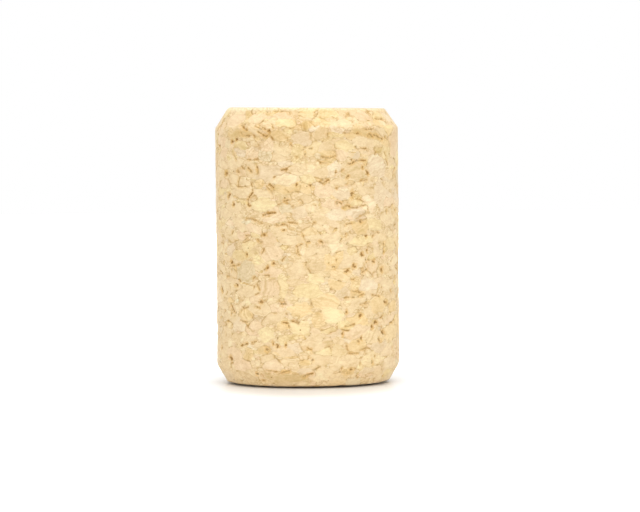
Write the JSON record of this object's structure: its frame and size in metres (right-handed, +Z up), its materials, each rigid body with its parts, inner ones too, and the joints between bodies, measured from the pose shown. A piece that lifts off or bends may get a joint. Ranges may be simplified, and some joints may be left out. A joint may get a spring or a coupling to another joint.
{
  "type": "agglomerated cork stopper",
  "caption": "Straight round stopper of agglomerated cork granules, bevelled at both ends, squeezed into a bottle neck to seal it.",
  "frame": {"origin": "centre of the flat foot, on the surface that the stopper stands on", "axes": "+Z up along the stopper's axis, from the foot to the crown; X and Y are free, because the body is round"},
  "size_m": [0.024, 0.024, 0.036],
  "materials": {
    "cork": "matte"
  },
  "bodies": {
    "root": {"cork_stopper": "cork"}
  },
  "joints": []
}
